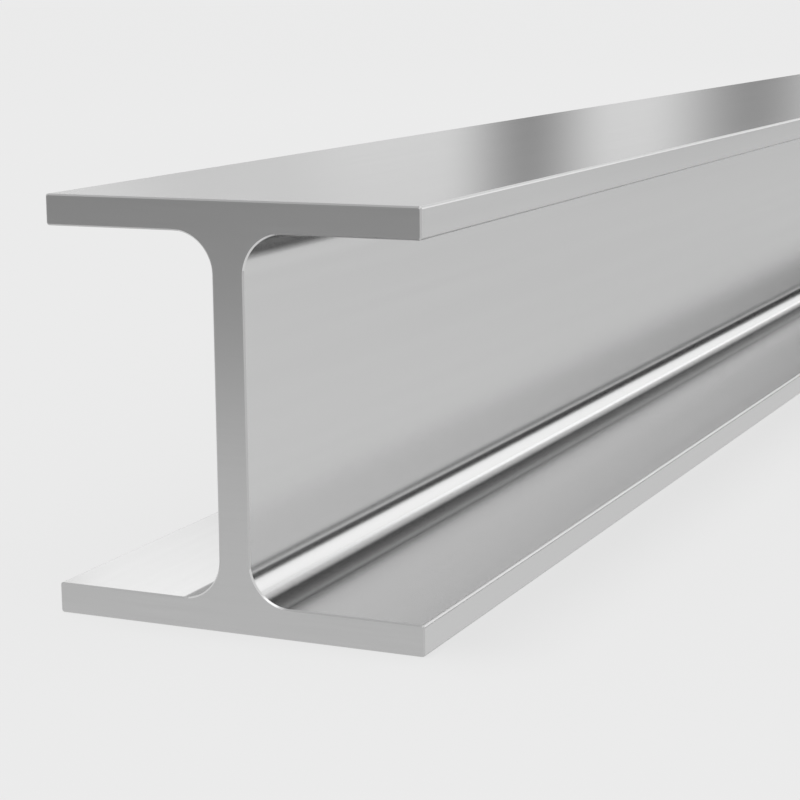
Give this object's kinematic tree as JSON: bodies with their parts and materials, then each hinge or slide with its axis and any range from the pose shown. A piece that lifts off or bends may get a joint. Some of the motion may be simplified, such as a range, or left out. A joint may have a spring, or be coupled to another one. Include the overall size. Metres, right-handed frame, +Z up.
{
  "type": "steel h-beam",
  "caption": "Straight rolled steel H-section beam with wide parallel flanges, rounded web roots and square sawn ends, for columns and girders.",
  "frame": {"origin": "under the middle of the bar, on the floor that the bottom flange lies on", "axes": "+X along the bar, +Y across the flanges, +Z up the web"},
  "size_m": [6, 0.303, 0.32],
  "materials": {
    "steel": "bright satin mill finish with a fine grain along the bar, and sawn ends"
  },
  "bodies": {
    "root": {"h_beam": "steel"}
  },
  "joints": []
}
